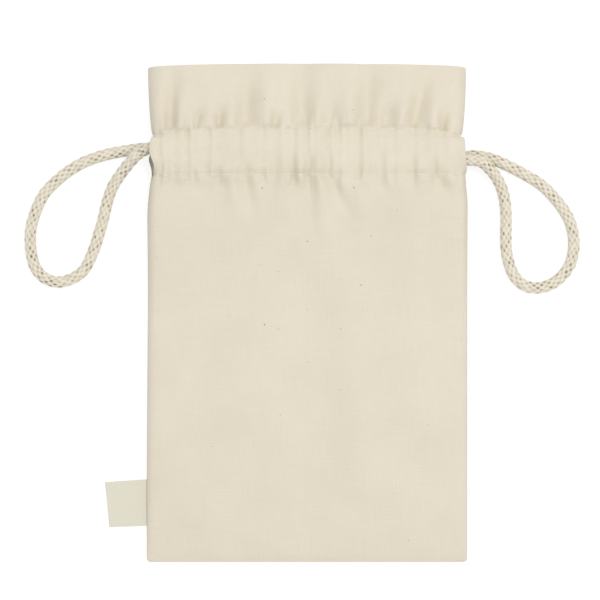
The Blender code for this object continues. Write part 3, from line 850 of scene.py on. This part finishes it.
class Nodes:
    """A material's nodes, with short ways to add to them."""

    def __init__(self, name):
        self.material = bpy.data.materials.new(name)
        self.material.use_nodes = True
        self.tree = self.material.node_tree
        self.shader = self.tree.nodes["Principled BSDF"]
        self.link = self.tree.links.new

    def add(self, kind, **settings):
        """A new node. Each setting is the value of one of its inputs, or else of a property."""
        node = self.tree.nodes.new(kind)
        for key, value in settings.items():
            if key in node.inputs:
                node.inputs[key].default_value = value
            else:
                setattr(node, key, value)
        return node

    def feed(self, socket, value):
        """Sets an input to a number or a colour, or links another node's output to it."""
        if isinstance(value, (int, float)):
            socket.default_value = value
        elif isinstance(value, tuple):
            socket.default_value = (*value, 1.0)
        else:
            self.link(value, socket)

    def calc(self, operation, *values):
        node = self.add("ShaderNodeMath", operation=operation)
        for socket, value in zip(node.inputs, values):
            self.feed(socket, value)
        return node.outputs[0]

    def uv(self):
        return self.add("ShaderNodeUVMap", uv_map=UV_NAME).outputs[0]

    def scaled(self, vector, scale):
        node = self.add("ShaderNodeVectorMath", operation="MULTIPLY")
        node.inputs[1].default_value = scale
        self.link(vector, node.inputs[0])
        return node.outputs[0]

    def noise(self, vector, scale, detail):
        node = self.add("ShaderNodeTexNoise", noise_dimensions="2D", Scale=1.0, Detail=detail)
        self.link(self.scaled(vector, scale), node.inputs["Vector"])
        return node.outputs[0]

    def weighted(self, first, first_share, second, second_share):
        return self.calc(
            "ADD", self.calc("MULTIPLY", first, first_share), self.calc("MULTIPLY", second, second_share)
        )

    def ramp(self, value, low, high):
        node = self.add("ShaderNodeMapRange", **{"From Min": low, "From Max": high})
        self.link(value, node.inputs[0])
        return node.outputs[0]

    def mix(self, share, first, second):
        node = self.add("ShaderNodeMix", data_type="RGBA")
        for place, value in ((MIX_SHARE, share), (MIX_FIRST, first), (MIX_SECOND, second)):
            self.feed(node.inputs[place], value)
        return node.outputs[MIX_RESULT]

    def weave(self, vector, pitch):
        """Height of a plain weave: warp and weft threads that pass over and under each other."""
        split = self.add("ShaderNodeSeparateXYZ")
        self.link(self.scaled(vector, (1 / pitch, 1 / pitch, 1)), split.inputs[0])
        u, v = split.outputs[0], split.outputs[1]
        hump_u, hump_v = (
            self.calc("ABSOLUTE", self.calc("SINE", self.calc("MULTIPLY", place, math.pi))) for place in (u, v)
        )
        checker = self.calc("MODULO", self.calc("ADD", self.calc("FLOOR", u), self.calc("FLOOR", v)), 2)
        over = self.calc("ABSOLUTE", checker)
        return self.weighted(hump_u, over, hump_v, self.calc("SUBTRACT", 1, over))

    def flecked(self, colour, vector, flecks, strength):
        """A colour with small seed flecks, scattered over a share of the cells of Voronoi patterns."""
        for cell, radius, chosen in flecks:
            cells = self.add("ShaderNodeTexVoronoi", voronoi_dimensions="2D", Scale=1.0, Randomness=1.0)
            self.link(self.scaled(vector, (1 / cell, 1 / cell, 1)), cells.inputs["Vector"])
            split = self.add("ShaderNodeSeparateColor")
            self.link(cells.outputs["Color"], split.inputs[0])
            wide = self.calc("MULTIPLY", self.calc("ADD", split.outputs[1], FLECK_LEAST), radius / cell)
            close = self.calc("LESS_THAN", cells.outputs["Distance"], wide)
            spots = self.calc("MULTIPLY", close, self.calc("LESS_THAN", split.outputs[0], chosen))
            colour = self.mix(self.calc("MULTIPLY", spots, strength), colour, SEED)
        return colour

    def relief(self, height, strength, distance):
        bump = self.add("ShaderNodeBump", Strength=strength, Distance=distance)
        self.link(height, bump.inputs["Height"])
        self.link(bump.outputs[0], self.shader.inputs["Normal"])

    def surface(self, colour, values):
        self.link(colour, self.shader.inputs["Base Color"])
        for key, value in values.items():
            self.shader.inputs[key].default_value = value
        return self.material


def cotton_material(name, light, shade, pitch, flecks):
    """Plain-woven cotton: weave relief, slubs along both thread directions, mottling and seed flecks."""
    nodes = Nodes(name)
    uv = nodes.uv()
    streaks = [nodes.noise(uv, scale, SLUB_DETAIL) for scale in SLUB_SCALES]
    slub = nodes.calc("MULTIPLY", nodes.calc("ADD", *streaks), 1 / len(streaks))
    mottle = nodes.noise(uv, MOTTLE_SCALE, MOTTLE_DETAIL)
    tone = nodes.weighted(slub, SLUB_TONE, mottle, MOTTLE_TONE)
    colour = nodes.mix(nodes.ramp(tone, *COTTON_TONES), shade, light)
    colour = nodes.flecked(colour, uv, flecks, COTTON_FLECK_STRENGTH)
    nodes.relief(
        nodes.calc("ADD", nodes.weave(uv, pitch), nodes.calc("MULTIPLY", slub, SLUB_RELIEF)), *COTTON_BUMP
    )
    return nodes.surface(colour, COTTON_SURFACE)


def cord_material():
    """Cotton braid: paler on the strands' crowns and darker in the grooves and gaps by painted shade, with fibres
    and a few flecks.
    """
    nodes = Nodes("braided_cotton")
    uv = nodes.uv()
    groove_shade = nodes.add("ShaderNodeAttribute", attribute_name=GROOVE_SHADE_NAME).outputs["Fac"]
    fibre = nodes.noise(uv, FIBRE_SCALE, FIBRE_DETAIL)
    patch = nodes.noise(uv, PATCH_SCALE, PATCH_DETAIL)
    tone = nodes.weighted(fibre, FIBRE_TONE, patch, PATCH_TONE)
    # painted shade of the grooves and gaps, plus random tone from the fibres and patches, sets how dark the cord
    # is
    shade_and_tone = nodes.ramp(nodes.calc("ADD", groove_shade, tone), *CORD_TONES)
    colour = nodes.mix(shade_and_tone, CORD_LIGHT, CORD_DARK_AND_SHADE)
    colour = nodes.flecked(colour, uv, CORD_FLECKS, CORD_FLECK_STRENGTH)
    nodes.relief(fibre, *CORD_BUMP)
    return nodes.surface(colour, CORD_SURFACE)


def thread_material():
    """Sewing thread, with its plies as a fine change of tone."""
    nodes = Nodes("sewing_thread")
    ply = nodes.add("ShaderNodeTexWave", Scale=PLY_SCALE, Distortion=PLY_DISTORTION)
    nodes.link(nodes.add("ShaderNodeTexCoord").outputs["Object"], ply.inputs["Vector"])
    return nodes.surface(nodes.mix(ply.outputs["Fac"], COTTON, THREAD), THREAD_SURFACE)


def place_panels(cotton):
    for panel, height, pulls, up, near, far, support in (
        ("front", front_cloth_height, FRONT_PULLS, 1, Z_FRONT_FACING + CLOTH, Z_FRONT_FACING, "back_panel"),
        ("back", back_cloth_height, BACK_PULLS, -1, Z_BACK_FACING, Z_BACK_FACING + CLOTH, "floor"),
    ):
        piece = cloth_panel(panel + "_cloth", panel_grid(height, pulls), up, near, far, cotton)
        hand_over(piece, "bag", panel + "_panel")


def place_stitches(thread):
    gap = THREAD_RADIUS + CLEAR
    for place, y in (("lower", Y_LOW - gap), ("upper", Y_HIGH + gap)):
        for panel, height, outward in (("front", front_cloth_height, 1), ("back", back_cloth_height, -1)):
            lines = stitch_lines(y, height, outward)
            piece = join_tubes(f"{panel}_{place}_stitches", lines, THREAD_RADIUS, STITCH_SIDES, thread)
            hand_over(piece, "bag", f"{panel}_{place}_stitching")


def along_seam(low, high, along, aside, up):
    """Points in a seam's box: by place along its long side, and by distance from its middle across it and up."""
    long_axis = int(np.argmax(high - low))
    wide_axis = 1 - long_axis
    along, aside, up = np.broadcast_arrays(along, aside, up)
    points = np.zeros((*along.shape, 3))
    points[..., long_axis] = low[long_axis] + along
    points[..., wide_axis] = (low + high)[wide_axis] / 2 + aside
    points[..., 2] = (low + high)[2] / 2 + up
    return points


def place_seams(cotton, thread):
    """Overlocked seams inside: a strip of doubled cloth with thread wrapped along its free edge."""
    across = np.linspace(-1, 1, STRIP_POINTS)
    rounded = np.sqrt(np.maximum(0, 1 - np.abs(across) ** STRIP_POWER))
    section = np.concatenate([
        np.stack([across, rounded], axis=1),
        np.stack([across, -rounded], axis=1)[-2:0:-1],
    ])
    for node in SEAMS:
        low, high = (np.array(corner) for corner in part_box(node))
        length, width, thick = max(high - low), min((high - low)[:2]), high[2] - low[2]
        stations = np.linspace(0, length, max(STRIP_STATIONS, int(length / STRIP_SPACING)))[:, None]
        wave = STRIP_WAVE * np.sin(stations / STRIP_WAVELENGTH)
        aside, up = STRIP_WIDTH * width * section[:, 0], STRIP_THICKNESS * thick * section[:, 1]
        points = along_seam(low, high, stations, aside, up + wave)
        strip = add_tube(node + "_allowance", points, cotton, points[:, :, :2])
        hand_over(strip, "bag", node)
        step = np.arange(OVERLOCK_MARGIN, length - OVERLOCK_MARGIN, OVERLOCK_SPACING)
        turn = 2 * math.pi * step / OVERLOCK_PITCH
        aside, up = OVERLOCK_WIDTH * width * np.cos(turn), OVERLOCK_THICKNESS * thick * np.sin(turn)
        wrap = along_seam(low, high, step, aside, up)
        overlock = join_tubes(node + "_overlock", [wrap], OVERLOCK_RADIUS, OVERLOCK_SIDES, thread)
        hand_over(overlock, "bag", node)


def label_section(thick, fold_share):
    """Section of a folded tape: (share of the way from the seam to the fold, height from the middle)."""
    steps = np.linspace(0, 1, LABEL_STEPS) * (1 - fold_share)
    arc = np.linspace(math.pi / 2, -math.pi / 2, LABEL_FOLD_STEPS)[1:-1]

    def side(half_height):
        bend = 1 - fold_share + fold_share * np.cos(arc) * half_height * 2 / thick
        return np.concatenate([
            np.stack([steps, np.full_like(steps, half_height)], axis=1),
            np.stack([bend, half_height * np.sin(arc)], axis=1),
            np.stack([steps[::-1], np.full_like(steps, -half_height)], axis=1),
        ])

    return np.concatenate([side(thick / 2), side(thick / 2 - LABEL_LAYER * thick)[::-1]])


def place_label(tape):
    """A folded tape: two woven layers joined at a rounded fold, with firm selvedges."""
    corners = np.array([v.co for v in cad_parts["label_tab"].data.vertices])
    seam = corners[corners[:, 0] > LABEL_HIGH.x - LABEL_SEAM_REACH]
    fold = corners[corners[:, 0] < LABEL_HIGH.x - LABEL_FOLD_REACH]
    (seam_low, seam_high), (fold_low, fold_high) = (
        (group[np.argmin(group[:, 1])], group[np.argmax(group[:, 1])]) for group in (seam, fold)
    )
    seam_low[0] = seam_high[0] = -HALF - LABEL_TOUCH
    thick = LABEL_HIGH.z - LABEL_LOW.z
    section = label_section(thick, thick / 2 / np.linalg.norm(fold_low[:2] - seam_low[:2]))
    share = np.linspace(0, 1, LABEL_ROWS)[:, None]
    at_seam = (seam_low * (1 - share) + seam_high * share)[:, None]
    at_fold = (fold_low * (1 - share) + fold_high * share)[:, None]
    selvedge = 1 - SELVEDGE_THINNING * bell(np.minimum(share, 1 - share) / SELVEDGE_WIDTH)
    points = at_seam + (at_fold - at_seam) * section[None, :, :1]
    points[:, :, 2] = (LABEL_LOW.z + LABEL_HIGH.z) / 2 + section[:, 1] * selvedge
    piece = add_tube("label_tape", points, tape, points[:, :, :2])
    hand_over(piece, "label", "label_tab")


def place_floor():
    """A pale floor that shows almost white and keeps a faint shadow."""
    mesh = bpy.data.meshes.new("floor")
    corners = [(-1, -1), (1, -1), (1, 1), (-1, 1)]
    mesh.from_pydata([(x * FLOOR_REACH, y * FLOOR_REACH, FLOOR_LEVEL) for x, y in corners], [], [(0, 1, 2, 3)])
    nodes = Nodes("pale_floor")
    nodes.tree.nodes.remove(nodes.shader)
    bounce = nodes.add("ShaderNodeBsdfDiffuse", Color=FLOOR_BOUNCE)
    shown = nodes.add("ShaderNodeBsdfDiffuse", Color=FLOOR_SHOWN)
    glow = nodes.add("ShaderNodeEmission", Strength=FLOOR_GLOW)
    both = nodes.add("ShaderNodeAddShader")
    nodes.link(shown.outputs[0], both.inputs[0])
    nodes.link(glow.outputs[0], both.inputs[1])
    ray = nodes.add("ShaderNodeLightPath")
    choose = nodes.add("ShaderNodeMixShader")
    nodes.link(ray.outputs["Is Camera Ray"], choose.inputs[0])
    nodes.link(bounce.outputs[0], choose.inputs[1])
    nodes.link(both.outputs[0], choose.inputs[2])
    nodes.link(choose.outputs[0], nodes.tree.nodes["Material Output"].inputs["Surface"])
    mesh.materials.append(nodes.material)
    add_object("floor", mesh)


def place_lights():
    """An even white sky, and one soft key light that points at the bag's middle."""
    world = bpy.data.worlds.new("studio")
    world.use_nodes = True
    background = world.node_tree.nodes["Background"]
    background.inputs["Color"].default_value = (1, 1, 1, 1)
    background.inputs["Strength"].default_value = SKY_STRENGTH
    bpy.context.scene.world = world
    data = bpy.data.lights.new("key_light", "AREA")
    data.shape = "DISK"
    data.size = KEY_SIZE
    data.energy = KEY_POWER
    light = add_object("key_light", data)
    light.location = KEY_PLACE
    x, y, z = KEY_PLACE
    light.rotation_euler = (math.atan2(math.hypot(x, y), z), 0, math.atan2(-y, -x) - math.pi / 2)


def place_camera():
    data = bpy.data.cameras.new("camera")
    data.lens = CAMERA_LENS
    data.sensor_width = CAMERA_SENSOR
    camera = add_object("camera", data)
    camera.location = (*VIEW_CENTRE, VIEW_LEVEL + VIEW_WIDTH * CAMERA_LENS / CAMERA_SENSOR)
    bpy.context.scene.camera = camera


def main():
    place_camera()
    place_lights()
    place_floor()
    bpy.context.scene.view_settings.view_transform = "Standard"
    cotton = cotton_material("natural_cotton", COTTON, COTTON_SHADE, COTTON_PITCH, COTTON_FLECKS)
    tape = cotton_material("woven_tape", TAPE, TAPE, TAPE_PITCH, ())
    thread = thread_material()
    cord = cord_material()
    cord_ring("left_cord", -1, Y_LEFT_RING, LEFT_LOOP_OUT, LEFT_LOOP_BACK, cord)
    cord_ring("right_cord", 1, Y_RIGHT_RING, RIGHT_LOOP_OUT, RIGHT_LOOP_BACK, cord)
    place_panels(cotton)
    place_stitches(thread)
    place_seams(cotton, thread)
    place_label(tape)


main()
